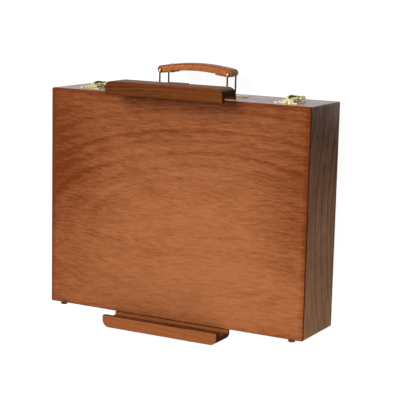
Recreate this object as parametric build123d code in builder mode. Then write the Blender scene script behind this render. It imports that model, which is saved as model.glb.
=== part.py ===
from build123d import *

import os
from math import cos, radians, sin, sqrt

os.makedirs("parts", exist_ok=True)

# Table box easel: a shallow wooden case that lies on its back on the table. Its lid is hinged along
# one long edge and tilts up as the easel board; a ledge at the hinge edge and a sliding clamp at the
# far edge hold the canvas on the lid's outer face.
# Frame: origin at the middle of the underside, +X to the painter's right, +Y from the hinge edge to
# the handle edge, +Z up through the easel board. Millimetres.

# Case
case_w = 340.0
case_h = 263.0
case_d = 81.0
seam_z = 44.0
seam_gap = 0.3
wall_t = 9.0
panel_t = 3.0
corner_r = 1.6
face_edge_r = 1.2
seam_ease = 0.7

# Clearances
running = 0.05
apart = 0.3
screw_clear = 0.05

# Storage tray in the base
stay_channel = 16.0
tray_t = 4.0
tray_top_z = 39.0
dado = 1.5
brush_row = 73.0
cross_x = 48.0

# Brass butt hinges
hinge_inset = 60.0
hinge_len = 34.0
knuckles = 5
knuckle_r = 2.6
hinge_pin_r = 1.2
leaf_t = 1.2
leaf_reach = 7.6

# Small countersunk brass screws
screw_r = 0.9
screw_head_r = 1.9
screw_len = 7.5
driver_slot = 0.5

# Canvas holders
canvas_gap = 23.0
lip_t = 6.0
clamp_len = 153.0
clamp_top = 15.5
clamp_overlap = 0.2
clamp_web = 9.7
clamp_back_gap = 1.8
ledge_len = 153.0
ledge_drop = 12.8
ledge_lip_rise = 1.2
ledge_web = 8.5
ledge_back_gap = 0.5
holder_end_r = 8.5
holder_edge_r = 0.9

# Masts that carry the holders inside the lid
mast_w = 24.0
mast_t = 8.0
rail_w = 12.0
cover_t = 3.0
clamp_travel = 120.0
ledge_travel = 30.0
clamp_knob_gap = 74.5
ledge_knob_gap = 42.5
clamp_mast_tail = 14.0
ledge_slide_tail = 10.0
knob_r = 9.0
knob_h = 11.0
knob_flutes = 12
flute_r = 1.5
stud_r = 2.5
stud_bite = 6.0
holder_screw_x = 7.0
holder_screw_r = 1.3
holder_screw_head_r = 2.6
holder_screw_len = 17.0

# Lid stays: an arm that turns on the lid while its clamp bolt runs in a sloping track on the base
lid_open = 60.0
stay_len = 80.0
stay_rise = 6.0
track_fall = 10.0
track_w = 10.0
track_t = 1.5
track_standoff = 3.0
track_pad = 8.0
stay_arm_w = 8.0
stay_arm_t = 2.0
stay_pivot_r = 2.5
stay_bolt_r = 2.0
stay_head_r = 3.6
stay_nut_r = 6.0
stay_nut_t = 6.0
nut_knurls = 24
nut_knurl_r = 0.5
bracket_len = 22.0
bracket_w = 10.0
bracket_t = 1.2
bracket_corner_r = 2.4
bracket_screw_y = 8.0
pivot_head_t = 1.0

# Draw latches on the handle edge, measured from the seam (v) and out from the wall (w)
latch_inset = 40.0
latch_w = 28.0
latch_base_w = 20.6
latch_plate_t = 1.0
latch_edge = 1.5
latch_base_len = 13.0
latch_catch_len = 15.5
catch_screw_x = 11.2
base_screw_x = 4.5
latch_screw_inset = 3.0
latch_pin_r = 1.0
latch_pivot_v = -6.0
latch_pivot_w = 3.6
ear_r = 2.0
ear_t = 1.0
link_pivot_v = -11.0
link_pivot_w = 3.0
link_pin_r = 0.75
link_barrel_r = 1.5
link_w = 12.4
link_t = 0.9
link_strap_w = 3.1
lever_w = 16.0
cheek_t = 1.0
lever_t = 1.0
lever_brow_v = -9.6
lever_brow_w = 6.5
lever_front_v = -14.2
lever_front_w = 6.6
lever_back_v = -17.6
lever_back_w = 5.7
lever_tip_v = -19.4
lever_tip_w = 3.4
lever_roll_r = 1.1
lever_heel_v = -13.0
lever_heel_w = 1.5
hook_v = 9.6
hook_t = 1.0
hook_low_w = 1.6
catch_lip_v = 8.2
catch_lip_t = 1.0
catch_lip_w = 2.6

# Carrying handle
handle_z = 28.5
bail_x = 45.0
bail_r = 1.0
bail_legs = 21.0
bail_bend = 1.8
bail_foot_y = 2.35
bail_top_y = 26.5
clip_w = 10.0
clip_t = 1.0
clip_barrel_r = 2.3
clip_reach = 22.0
clip_screw_x = 16.0
clip_end_r = 3.0
dome_r = 3.0
dome_h = 1.6
dome_shank_r = 1.2
dome_shank_len = 7.5
grip_w = 17.0
grip_t = 8.4
grip_rise = 35.3
loop_r = 4.5
loop_bore = 0.4
flap_x = 28.0
flap_t = 1.3
grip_edge_r = 1.4
rivet_x = 34.0
rivet_r = 1.2
rivet_head_r = 2.5
rivet_head_h = 0.9

# Bumpers along the hinge edge
bumper_inset = 15.5
bumper_r = 4.0
bumper_h = 3.3
bumper_edge_r = 1.0
lid_bumper_depth = 5.5
base_bumper_z = 12.0

# Places that follow from the sizes
half_w = case_w / 2
half_h = case_h / 2
inner_w = case_w - 2 * wall_t
inner_h = case_h - 2 * wall_t
base_top = seam_z - seam_gap / 2
lid_low = seam_z + seam_gap / 2
lid_in = case_d - panel_t
mast_top = lid_in - apart
mast_low = mast_top - mast_t
cover_top = mast_low - apart
cover_low = cover_top - cover_t
rail_x = mast_w / 2 + apart
hinge_y = -half_h - knuckle_r - apart
side_in = half_w - wall_t
clamp_knob_y = wall_t - half_h + clamp_knob_gap
ledge_knob_y = wall_t - half_h + ledge_knob_gap
hinge_x = half_w - hinge_inset
latch_x = half_w - latch_inset
bumper_x = half_w - bumper_inset
SIDES = {"left": -1, "right": 1}


def save(piece, name):
    """Labels a finished piece and writes it as one STEP file."""
    piece.part.label = name
    export_step(piece.part, f"parts/{name}.step")


def block(low, high, mode=Mode.ADD):
    """A box between two opposite corners."""
    with Locations(tuple((a + b) / 2 for a, b in zip(low, high))):
        Box(*(b - a for a, b in zip(low, high)), mode=mode)


def facing(point, direction):
    """A place whose own +Z looks along a direction, for a screw or hole that enters against it."""
    return Plane(origin=point, z_dir=direction).location


def bore(radius, places, depth):
    """Round holes sunk from each place."""
    with Locations(*places):
        Hole(radius, depth=depth)


def sunk(places, shank_r, head_r, depth):
    """Countersunk holes for flat-headed screws."""
    with Locations(*places):
        CounterSinkHole(shank_r + screw_clear, head_r + screw_clear, depth=depth, counter_sink_angle=90)


def flat_screw(shank_r, head_r, length):
    """A slotted flat-headed wood screw, its head's top at the origin and its point along -Z."""
    with BuildPart() as screw:
        with BuildSketch(Plane.XZ):
            with BuildLine():
                Polyline(
                    (0, 0),
                    (head_r, 0),
                    (shank_r, shank_r - head_r),
                    (shank_r, shank_r - length),
                    (0, -length),
                    close=True,
                )
            make_face()
        revolve(axis=Axis.Z)
        block((-head_r, -driver_slot / 2, -driver_slot), (head_r, driver_slot / 2, 0), Mode.SUBTRACT)
    return screw.part


def screws_at(screw, places, name):
    """The same screw at many places, kept as one group of solids."""
    with BuildPart() as group:
        with Locations(*places):
            add(screw)
    save(group, name)


def mirrored(piece, name):
    """The left-hand twin of a right-hand piece."""
    with BuildPart() as twin:
        mirror(piece.part, about=Plane.YZ)
    save(twin, name)


small_screw = flat_screw(screw_r, screw_head_r, screw_len)
holder_screw = flat_screw(holder_screw_r, holder_screw_head_r, holder_screw_len)

# Where the small screws stand
leaf_screw_x = [hinge_x + step * hinge_len / 3 for step in (-1, 0, 1)]
leaf_screw_y = -half_h + leaf_reach / 2
hinge_places = [(side * x, leaf_screw_y) for side in SIDES.values() for x in leaf_screw_x]
base_hinge_screws = [facing((x, y, base_top), (0, 0, 1)) for x, y in hinge_places]
lid_hinge_screws = [facing((x, y, lid_low), (0, 0, -1)) for x, y in hinge_places]

latch_face_y = half_h + latch_plate_t
base_plate_screw_z = seam_z - latch_edge - latch_base_len + latch_screw_inset
catch_screw_z = seam_z + latch_edge + latch_catch_len - latch_screw_inset


def latch_screw_places(reach, z):
    """Two screws side by side in each latch's plate."""
    spots = [side * latch_x + step * reach for side in SIDES.values() for step in (-1, 1)]
    return [facing((x, latch_face_y, z), (0, 1, 0)) for x in spots]


plate_screws = latch_screw_places(base_screw_x, base_plate_screw_z)
catch_screws = latch_screw_places(catch_screw_x, catch_screw_z)

# Stay linkage seen from the side: arm and lid reach are equal, so the bolt runs on a straight line
# through the hinge pin
stay_y = hinge_y + stay_len * cos(radians(stay_rise))
stay_z = seam_z + stay_len * sin(radians(stay_rise))
slot_far = 2 * stay_len * cos(radians(stay_rise + track_fall))
slot_near = 2 * stay_len * cos(radians(stay_rise + track_fall + lid_open))
bolt_y = hinge_y + slot_far * cos(radians(track_fall))
bolt_z = seam_z - slot_far * sin(radians(track_fall))
slot_clear = stay_bolt_r + apart
pad_near = slot_near - stay_head_r - apart - track_pad
pad_far = slot_far + stay_head_r + apart
track_face_x = side_in - track_standoff - track_t
arm_face_x = track_face_x - apart - stay_arm_t
bracket_face_x = side_in - bracket_t


def track_plane(x, side=1):
    """The plane of a stay track, its own X running down the slot from the hinge pin."""
    run = (0, cos(radians(track_fall)), -sin(radians(track_fall)))
    return Plane(origin=(side * x, hinge_y, seam_z), x_dir=run, z_dir=(-side, 0, 0))


track_spots = [pad_near + track_pad / 2, pad_far + track_pad / 2]
track_screws = {
    side: [track_plane(track_face_x, sign).location * Location((spot, 0, 0)) for spot in track_spots]
    for side, sign in SIDES.items()
}
bracket_screws = {
    side: [
        facing((sign * bracket_face_x, stay_y + step * bracket_screw_y, stay_z), (-sign, 0, 0))
        for step in (-1, 1)
    ]
    for side, sign in SIDES.items()
}
cover_screw_x = rail_x + rail_w / 2
cover_screws = [
    facing((side * cover_screw_x, step * inner_h / 3, cover_low), (0, 0, -1))
    for side in SIDES.values()
    for step in (-1, 0, 1)
]

# Where the handle's dome screws stand
clip_face_y = half_h + clip_t
dome_places = [
    facing((side * (bail_x + clip_screw_x), clip_face_y, handle_z), (0, 1, 0)) for side in SIDES.values()
]


def mitre_outline(side):
    """The four corners of a wall that is cut at 45 degrees at both ends."""
    w, h = inner_w / 2, inner_h / 2
    return {
        "hinge_side": [(-half_w, -half_h), (half_w, -half_h), (w, -h), (-w, -h)],
        "handle_side": [(half_w, half_h), (-half_w, half_h), (-w, h), (w, h)],
        "left": [(-half_w, half_h), (-half_w, -half_h), (-w, -h), (-w, h)],
        "right": [(half_w, -half_h), (half_w, half_h), (w, h), (w, -h)],
    }[side]


def on_outside(edge):
    """True for an edge that lies on the case's outer faces."""
    middle = edge.center()
    return max(abs(middle.X) - half_w, abs(middle.Y) - half_h) > -corner_r


def wall_blank(side, low, high, seam):
    """One mitred wall of the case, its outer edge eased where it meets the other half."""
    with BuildPart() as wall:
        with BuildSketch(Plane.XY.offset(low)):
            RectangleRounded(case_w, case_h, corner_r)
            Rectangle(inner_w, inner_h, mode=Mode.SUBTRACT)
            with BuildLine():
                Polyline(*mitre_outline(side), close=True)
            make_face(mode=Mode.INTERSECT)
        extrude(amount=high - low)
        at_seam = wall.edges().filter_by_position(Axis.Z, seam - 0.01, seam + 0.01)
        chamfer(at_seam.filter_by(on_outside), seam_ease)
    return wall.part


base_blanks = {side: wall_blank(side, panel_t, base_top, base_top) for side in
               ("hinge_side", "handle_side", "left", "right")}
lid_blanks = {side: wall_blank(side, lid_low, lid_in, lid_low) for side in
              ("hinge_side", "handle_side", "left", "right")}


def leaf_mortises(low, high):
    """Recesses that let the hinge leaves lie flush in a wall's edge."""
    for sign in SIDES.values():
        x = sign * hinge_x
        block(
            (x - hinge_len / 2, -half_h, low),
            (x + hinge_len / 2, -half_h + leaf_reach, high),
            Mode.SUBTRACT,
        )


def mast_notch(near_y, far_y):
    """A notch in a lid wall's panel edge for a mast to slide through."""
    block((-rail_x, near_y, cover_top), (rail_x, far_y, lid_in), Mode.SUBTRACT)


# Base: back panel and four mitred walls
with BuildPart() as base_panel:
    with BuildSketch():
        RectangleRounded(case_w, case_h, corner_r)
    extrude(amount=panel_t)
    chamfer(base_panel.faces().sort_by(Axis.Z)[0].edges(), seam_ease)
save(base_panel, "base_panel")

with BuildPart() as base_wall_hinge_side:
    add(base_blanks["hinge_side"])
    leaf_mortises(base_top - leaf_t, base_top)
    bore(screw_r + screw_clear, base_hinge_screws, screw_len + apart)
save(base_wall_hinge_side, "base_wall_hinge_side")

with BuildPart() as base_wall_handle_side:
    add(base_blanks["handle_side"])
    bore(screw_r + screw_clear, plate_screws, screw_len + apart)
    bore(dome_shank_r + screw_clear, dome_places, dome_shank_len + clip_t)
save(base_wall_handle_side, "base_wall_handle_side")

for side in SIDES:
    with BuildPart() as base_side_wall:
        add(base_blanks[side])
        bore(screw_r + screw_clear, track_screws[side], screw_len + apart)
    save(base_side_wall, f"base_wall_{side}")

# Storage tray: two long boards that leave a channel for the stays, and the dividers dadoed in
tray_x = side_in - stay_channel
tray_in = tray_x - tray_t
divider_y = inner_h / 2 - brush_row
for side, sign in SIDES.items():
    with BuildPart() as tray_side:
        x_low, x_high = sorted((sign * tray_in, sign * tray_x))
        block((x_low, -inner_h / 2, panel_t), (x_high, inner_h / 2, tray_top_z))
        d_low, d_high = sorted((sign * tray_in, sign * (tray_in + dado)))
        block(
            (d_low, divider_y - tray_t / 2, panel_t),
            (d_high, divider_y + tray_t / 2, tray_top_z),
            Mode.SUBTRACT,
        )
    save(tray_side, f"tray_side_{side}")

with BuildPart() as divider_long:
    block(
        (-tray_in - dado, divider_y - tray_t / 2, panel_t),
        (tray_in + dado, divider_y + tray_t / 2, tray_top_z),
    )
    for sign in SIDES.values():
        block(
            (sign * cross_x - tray_t / 2, divider_y - tray_t / 2, panel_t),
            (sign * cross_x + tray_t / 2, divider_y - tray_t / 2 + dado, tray_top_z),
            Mode.SUBTRACT,
        )
save(divider_long, "divider_long")

with BuildPart() as dividers_cross:
    for sign in SIDES.values():
        block(
            (sign * cross_x - tray_t / 2, -inner_h / 2, panel_t),
            (sign * cross_x + tray_t / 2, divider_y - tray_t / 2 + dado, tray_top_z),
        )
save(dividers_cross, "dividers_cross")

# Lid: easel board and four mitred walls; the masts slide out through the two long walls
with BuildPart() as lid_panel:
    with BuildSketch(Plane.XY.offset(lid_in)):
        RectangleRounded(case_w, case_h, corner_r)
    extrude(amount=panel_t)
    fillet(lid_panel.faces().sort_by(Axis.Z)[-1].edges(), face_edge_r)
save(lid_panel, "lid_panel")

with BuildPart() as lid_wall_hinge_side:
    add(lid_blanks["hinge_side"])
    leaf_mortises(lid_low, lid_low + leaf_t)
    bore(screw_r + screw_clear, lid_hinge_screws, screw_len + apart)
    mast_notch(-half_h, -inner_h / 2)
save(lid_wall_hinge_side, "lid_wall_hinge_side")

with BuildPart() as lid_wall_handle_side:
    add(lid_blanks["handle_side"])
    bore(screw_r + screw_clear, catch_screws, screw_len + apart)
    mast_notch(inner_h / 2, half_h)
save(lid_wall_handle_side, "lid_wall_handle_side")

for side in SIDES:
    with BuildPart() as lid_side_wall:
        add(lid_blanks[side])
        bore(screw_r + screw_clear, bracket_screws[side], screw_len + apart)
    save(lid_side_wall, f"lid_wall_{side}")

# Rails that guide both masts, and the cover board that keeps the masts in
for side, sign in SIDES.items():
    with BuildPart() as mast_rail:
        x_low, x_high = sorted((sign * rail_x, sign * (rail_x + rail_w)))
        block((x_low, -inner_h / 2, cover_top), (x_high, inner_h / 2, lid_in))
        bore(screw_r + screw_clear, cover_screws, screw_len + apart)
    save(mast_rail, f"mast_rail_{side}")

knob_slots = ((clamp_knob_y, clamp_knob_y + clamp_travel), (ledge_knob_y - ledge_travel, ledge_knob_y))
with BuildPart() as mast_cover:
    block((-rail_x - rail_w, -inner_h / 2, cover_low), (rail_x + rail_w, inner_h / 2, cover_top))
    for slot_low, slot_high in knob_slots:
        with BuildSketch(Plane.XY.offset(cover_low)):
            with Locations((0, (slot_low + slot_high) / 2)):
                SlotCenterToCenter(slot_high - slot_low, 2 * (stud_r + apart), rotation=90)
        extrude(amount=cover_t, mode=Mode.SUBTRACT)
    sunk(cover_screws, screw_r, screw_head_r, cover_t)
save(mast_cover, "mast_cover")

# Canvas holders: a channel block with a front lip, a web and a short back wall, screwed to a mast
lip_in = case_d + canvas_gap
lip_out = lip_in + lip_t


def holder_blank(points, length, outer_y, inner_y):
    """A holder's channel section run along X, its outer corners rounded right through."""
    ends = [(-length / 2, inner_y), (-length / 2, outer_y), (length / 2, outer_y), (length / 2, inner_y)]
    with BuildPart() as holder:
        with BuildSketch(Plane.YZ):
            with BuildLine():
                Polyline(*points, close=True)
            make_face()
        extrude(amount=length / 2, both=True)
        with BuildSketch(Plane.XY.offset(mast_top)):
            with BuildLine():
                FilletPolyline(*ends, radius=holder_end_r)
                Line(ends[-1], ends[0])
            make_face()
        extrude(amount=lip_out - mast_top, mode=Mode.INTERSECT)
        fillet(holder.faces().sort_by(Axis.Z)[-1].edges(), holder_edge_r)
    return holder.part


clamp_y = half_h + clamp_top
clamp_blank = holder_blank(
    [
        (half_h - clamp_overlap, lip_out),
        (half_h - clamp_overlap, lip_in),
        (clamp_y - clamp_web, lip_in),
        (clamp_y - clamp_web, case_d),
        (half_h + clamp_back_gap, case_d),
        (half_h + clamp_back_gap, mast_top),
        (clamp_y, mast_top),
        (clamp_y, lip_out),
    ],
    clamp_len,
    clamp_y,
    half_h - clamp_overlap,
)
ledge_y = -half_h - ledge_drop
ledge_blank = holder_blank(
    [
        (-half_h + ledge_lip_rise, lip_out),
        (-half_h + ledge_lip_rise, lip_in),
        (ledge_y + ledge_web, lip_in),
        (ledge_y + ledge_web, case_d),
        (-half_h - ledge_back_gap, case_d),
        (-half_h - ledge_back_gap, mast_top),
        (ledge_y, mast_top),
        (ledge_y, lip_out),
    ],
    ledge_len,
    ledge_y,
    -half_h + ledge_lip_rise,
)


def holder_screw_places(y):
    """Two screws that pass through a mast's end into its holder's web."""
    return [facing((side * holder_screw_x, y, mast_low), (0, 0, -1)) for side in SIDES.values()]


def make_mast(y_low, y_high, knob_y, screw_places, name):
    """A flat mast bar with screw holes at its holder and a threaded hole for its knob."""
    with BuildPart() as mast:
        block((-mast_w / 2, y_low, mast_low), (mast_w / 2, y_high, mast_top))
        sunk(screw_places, holder_screw_r, holder_screw_head_r, mast_t)
        bore(stud_r + running, [facing((0, knob_y, mast_low), (0, 0, -1))], stud_bite + apart)
    save(mast, name)


clamp_screw_places = holder_screw_places(clamp_y - clamp_web / 2)
ledge_screw_places = holder_screw_places(ledge_y + ledge_web / 2)

with BuildPart() as clamp_block:
    add(clamp_blank)
    bore(holder_screw_r + screw_clear, clamp_screw_places, holder_screw_len + apart)
save(clamp_block, "clamp_block")
make_mast(clamp_knob_y - clamp_mast_tail, clamp_y, clamp_knob_y, clamp_screw_places, "clamp_mast")
screws_at(holder_screw, clamp_screw_places, "clamp_screws")

with BuildPart() as ledge_block:
    add(ledge_blank)
    bore(holder_screw_r + screw_clear, ledge_screw_places, holder_screw_len + apart)
save(ledge_block, "ledge_block")
make_mast(ledge_y, ledge_knob_y + ledge_slide_tail, ledge_knob_y, ledge_screw_places, "ledge_slide")
screws_at(holder_screw, ledge_screw_places, "ledge_screws")


def make_knob(y, name):
    """A fluted round knob whose own stud runs through the cover's slot into the mast."""
    knob_top = cover_low - apart
    with BuildPart() as knob:
        with BuildSketch(Plane.XY.offset(knob_top - knob_h)):
            with Locations((0, y)):
                Circle(knob_r)
                with PolarLocations(knob_r, knob_flutes):
                    Circle(flute_r, mode=Mode.SUBTRACT)
        extrude(amount=knob_h)
        with BuildSketch(Plane.XY.offset(knob_top)):
            with Locations((0, y)):
                Circle(stud_r)
        extrude(amount=mast_low + stud_bite - knob_top)
    save(knob, name)


make_knob(clamp_knob_y, "clamp_knob")
make_knob(ledge_knob_y, "ledge_knob")


# Butt hinges: five knuckles shared out three to the base and two to the lid
def make_leaf(own, low, high, screw_places, side, name):
    """One hinge leaf, let into a wall's edge, with its own knuckles rolled round the pin."""
    pitch = hinge_len / knuckles
    start = side * hinge_x - hinge_len / 2
    with BuildPart() as leaf:
        block((start, -half_h, low), (start + hinge_len, -half_h + leaf_reach, high))
        for index in own:
            x_low = start + index * pitch + apart / 2
            x_high = x_low + pitch - apart
            block((x_low, hinge_y, low), (x_high, -half_h, high))
            with BuildSketch(Plane.YZ.offset(x_low)):
                with Locations((hinge_y, seam_z)):
                    Circle(knuckle_r)
            extrude(amount=x_high - x_low)
        with BuildSketch(Plane.YZ.offset(start)):
            with Locations((hinge_y, seam_z)):
                Circle(hinge_pin_r + running)
        extrude(amount=hinge_len, mode=Mode.SUBTRACT)
        sunk(screw_places, screw_r, screw_head_r, high - low)
    save(leaf, name)


for side, sign in SIDES.items():
    make_leaf((0, 2, 4), base_top - leaf_t, base_top, base_hinge_screws, sign, f"hinge_leaf_base_{side}")
    make_leaf((1, 3), lid_low, lid_low + leaf_t, lid_hinge_screws, sign, f"hinge_leaf_lid_{side}")

with BuildPart() as hinge_pins:
    for sign in SIDES.values():
        with BuildSketch(Plane.YZ.offset(sign * hinge_x - hinge_len / 2)):
            with Locations((hinge_y, seam_z)):
                Circle(hinge_pin_r)
        extrude(amount=hinge_len)
save(hinge_pins, "hinge_pins")

# Lid stays
with BuildPart() as stay_track_right:
    for spot in track_spots:
        with BuildSketch(track_plane(side_in)):
            with Locations((spot, 0)):
                Rectangle(track_pad, track_w)
        extrude(amount=track_standoff)
    with BuildSketch(track_plane(side_in - track_standoff)):
        with Locations(((pad_near + pad_far + track_pad) / 2, 0)):
            Rectangle(pad_far + track_pad - pad_near, track_w)
        with Locations(((slot_near + slot_far) / 2, 0)):
            SlotCenterToCenter(slot_far - slot_near, 2 * slot_clear, mode=Mode.SUBTRACT)
    extrude(amount=track_t)
    sunk(track_screws["right"], screw_r, screw_head_r, track_t + track_standoff)
save(stay_track_right, "stay_track_right")
mirrored(stay_track_right, "stay_track_left")

with BuildPart() as stay_bracket_right:
    with BuildSketch(Plane.YZ.offset(bracket_face_x)):
        with Locations((stay_y, stay_z)):
            RectangleRounded(bracket_len, bracket_w, bracket_corner_r)
    extrude(amount=bracket_t)
    shoulder_x = arm_face_x + stay_arm_t + apart
    pivot_head_x = arm_face_x - apart
    with BuildSketch(Plane.YZ.offset(shoulder_x)):
        with Locations((stay_y, stay_z)):
            Circle(stay_head_r)
    extrude(amount=bracket_face_x - shoulder_x)
    with BuildSketch(Plane.YZ.offset(pivot_head_x)):
        with Locations((stay_y, stay_z)):
            Circle(stay_pivot_r)
    extrude(amount=shoulder_x - pivot_head_x)
    with BuildSketch(Plane.YZ.offset(pivot_head_x - pivot_head_t)):
        with Locations((stay_y, stay_z)):
            Circle(stay_head_r)
    extrude(amount=pivot_head_t)
    sunk(bracket_screws["right"], screw_r, screw_head_r, bracket_t)
save(stay_bracket_right, "stay_bracket_right")
mirrored(stay_bracket_right, "stay_bracket_left")

arm_run = (0, bolt_y - stay_y, bolt_z - stay_z)
arm_middle = (arm_face_x + stay_arm_t, (stay_y + bolt_y) / 2, (stay_z + bolt_z) / 2)
with BuildPart() as stay_arm_right:
    with BuildSketch(Plane(origin=arm_middle, x_dir=arm_run, z_dir=(-1, 0, 0))):
        SlotCenterToCenter(stay_len, stay_arm_w)
        with Locations((-stay_len / 2, 0)):
            Circle(stay_pivot_r + running, mode=Mode.SUBTRACT)
        with Locations((stay_len / 2, 0)):
            Circle(stay_bolt_r + running, mode=Mode.SUBTRACT)
    extrude(amount=stay_arm_t)
save(stay_arm_right, "stay_arm_right")
mirrored(stay_arm_right, "stay_arm_left")

bolt_head_x = side_in - apart
bolt_head_t = track_standoff - 2 * apart
with BuildPart() as stay_bolt_right:
    with BuildSketch(Plane.YZ.offset(bolt_head_x - bolt_head_t)):
        with Locations((bolt_y, bolt_z)):
            Circle(stay_head_r)
    extrude(amount=bolt_head_t)
    with BuildSketch(Plane.YZ.offset(arm_face_x - apart - stay_nut_t)):
        with Locations((bolt_y, bolt_z)):
            Circle(stay_bolt_r)
    extrude(amount=bolt_head_x - arm_face_x + apart + stay_nut_t)
save(stay_bolt_right, "stay_bolt_right")
mirrored(stay_bolt_right, "stay_bolt_left")

with BuildPart() as stay_nut_right:
    with BuildSketch(Plane.YZ.offset(arm_face_x - apart - stay_nut_t)):
        with Locations((bolt_y, bolt_z)):
            Circle(stay_nut_r)
            with PolarLocations(stay_nut_r, nut_knurls):
                Circle(nut_knurl_r, mode=Mode.SUBTRACT)
            Circle(stay_bolt_r + running, mode=Mode.SUBTRACT)
    extrude(amount=stay_nut_t)
save(stay_nut_right, "stay_nut_right")
mirrored(stay_nut_right, "stay_nut_left")


# Draw latches
def latch_point(w, v):
    """A point of the latch's side view: w out from the wall, v from the seam towards the lid."""
    return (half_h + w, seam_z + v)


ear_x = lever_w / 2 + apart
with BuildPart() as latch_plate_right:
    block(
        (latch_x - latch_base_w / 2, half_h, seam_z - latch_edge - latch_base_len),
        (latch_x + latch_base_w / 2, latch_face_y, seam_z - latch_edge),
    )
    for x in (latch_x - ear_x - ear_t, latch_x + ear_x):
        with BuildSketch(Plane.YZ.offset(x)):
            with Locations(latch_point(latch_pivot_w, latch_pivot_v)):
                Circle(ear_r)
            with Locations(latch_point(latch_pivot_w / 2, latch_pivot_v)):
                Rectangle(latch_pivot_w, 2 * ear_r)
            with Locations(latch_point(latch_pivot_w, latch_pivot_v)):
                Circle(latch_pin_r, mode=Mode.SUBTRACT)
        extrude(amount=ear_t)
    sunk(plate_screws, screw_r, screw_head_r, latch_plate_t)
save(latch_plate_right, "latch_plate_right")
mirrored(latch_plate_right, "latch_plate_left")

with BuildPart() as latch_pins:
    for sign in SIDES.values():
        for step in (-1, 1):
            pin_in = sign * latch_x + step * (lever_w / 2 - cheek_t)
            pin_out = sign * latch_x + step * (ear_x + ear_t + apart)
            with BuildSketch(Plane.YZ.offset(min(pin_in, pin_out))):
                with Locations(latch_point(latch_pivot_w, latch_pivot_v)):
                    Circle(latch_pin_r)
            extrude(amount=abs(pin_out - pin_in))
save(latch_pins, "latch_pins")

with BuildPart() as latch_lever_right:
    for x in (latch_x - lever_w / 2, latch_x + lever_w / 2 - cheek_t):
        with BuildSketch(Plane.YZ.offset(x)):
            with BuildLine():
                Polyline(
                    latch_point(lever_front_w, lever_front_v),
                    latch_point(lever_back_w, lever_back_v),
                    latch_point(lever_tip_w, lever_tip_v),
                    latch_point(lever_heel_w, lever_heel_v),
                    latch_point(latch_pivot_w - ear_r, latch_pivot_v),
                    latch_point(latch_pivot_w + ear_r, latch_pivot_v),
                )
                ThreePointArc(
                    latch_point(latch_pivot_w + ear_r, latch_pivot_v),
                    latch_point(lever_brow_w, lever_brow_v),
                    latch_point(lever_front_w, lever_front_v),
                )
            make_face()
            with Locations(latch_point(latch_pivot_w, latch_pivot_v)):
                Circle(ear_r)
            with Locations(latch_point(latch_pivot_w, latch_pivot_v)):
                Circle(latch_pin_r + running, mode=Mode.SUBTRACT)
            with Locations(latch_point(link_pivot_w, link_pivot_v)):
                Circle(link_pin_r + running, mode=Mode.SUBTRACT)
        extrude(amount=cheek_t)
    with BuildSketch(Plane.YZ.offset(latch_x - lever_w / 2)):
        with BuildLine():
            ThreePointArc(
                latch_point(lever_front_w, lever_front_v),
                latch_point(lever_back_w, lever_back_v),
                latch_point(lever_tip_w, lever_tip_v),
            )
            ThreePointArc(
                latch_point(lever_front_w - lever_t, lever_front_v),
                latch_point(lever_back_w - lever_t, lever_back_v + lever_t / 2),
                latch_point(lever_tip_w, lever_tip_v + lever_t),
            )
            Line(
                latch_point(lever_front_w, lever_front_v),
                latch_point(lever_front_w - lever_t, lever_front_v),
            )
            Line(latch_point(lever_tip_w, lever_tip_v), latch_point(lever_tip_w, lever_tip_v + lever_t))
        make_face()
        with Locations(latch_point(lever_tip_w, lever_tip_v + lever_roll_r)):
            Circle(lever_roll_r)
    extrude(amount=lever_w)
save(latch_lever_right, "latch_lever_right")
mirrored(latch_lever_right, "latch_lever_left")

with BuildPart() as latch_link_right:
    with BuildSketch(Plane.YZ.offset(latch_x - link_w / 2)):
        with Locations(latch_point(link_pivot_w, link_pivot_v)):
            Circle(link_barrel_r)
        with BuildLine():
            Polyline(
                latch_point(link_strap_w, link_pivot_v),
                latch_point(link_strap_w + link_t, link_pivot_v),
                latch_point(link_strap_w + link_t, hook_v + hook_t),
                latch_point(hook_low_w, hook_v + hook_t),
                latch_point(hook_low_w, hook_v),
                latch_point(link_strap_w, hook_v),
                close=True,
            )
        make_face()
    extrude(amount=link_w)
    with BuildSketch(Plane.YZ.offset(latch_x - lever_w / 2)):
        with Locations(latch_point(link_pivot_w, link_pivot_v)):
            Circle(link_pin_r)
    extrude(amount=lever_w)
save(latch_link_right, "latch_link_right")
mirrored(latch_link_right, "latch_link_left")

with BuildPart() as latch_catch_right:
    block(
        (latch_x - latch_w / 2, half_h, seam_z + latch_edge),
        (latch_x + latch_w / 2, latch_face_y, seam_z + latch_edge + latch_catch_len),
    )
    block(
        (latch_x - link_w / 2, half_h, seam_z + catch_lip_v),
        (latch_x + link_w / 2, half_h + catch_lip_w, seam_z + catch_lip_v + catch_lip_t),
    )
    sunk(catch_screws, screw_r, screw_head_r, latch_plate_t)
save(latch_catch_right, "latch_catch_right")
mirrored(latch_catch_right, "latch_catch_left")

# Carrying handle: two wire bails in screwed clips, and a firm leather grip folded round them
foot_y = half_h + bail_foot_y
top_y = half_h + bail_top_y
bail_low = handle_z - bail_legs / 2
bail_high = handle_z + bail_legs / 2

with BuildPart() as bail_right:
    with BuildLine(Plane.YZ.offset(bail_x)) as bail_path:
        FilletPolyline(
            (foot_y, bail_low),
            (top_y, bail_low),
            (top_y, bail_high),
            (foot_y, bail_high),
            radius=bail_bend,
            close=True,
        )
    with BuildSketch(Plane(origin=bail_path.wire() @ 0, z_dir=bail_path.wire() % 0)):
        Circle(bail_r)
    sweep(path=bail_path.wire())
save(bail_right, "bail_right")
mirrored(bail_right, "bail_left")

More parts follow.
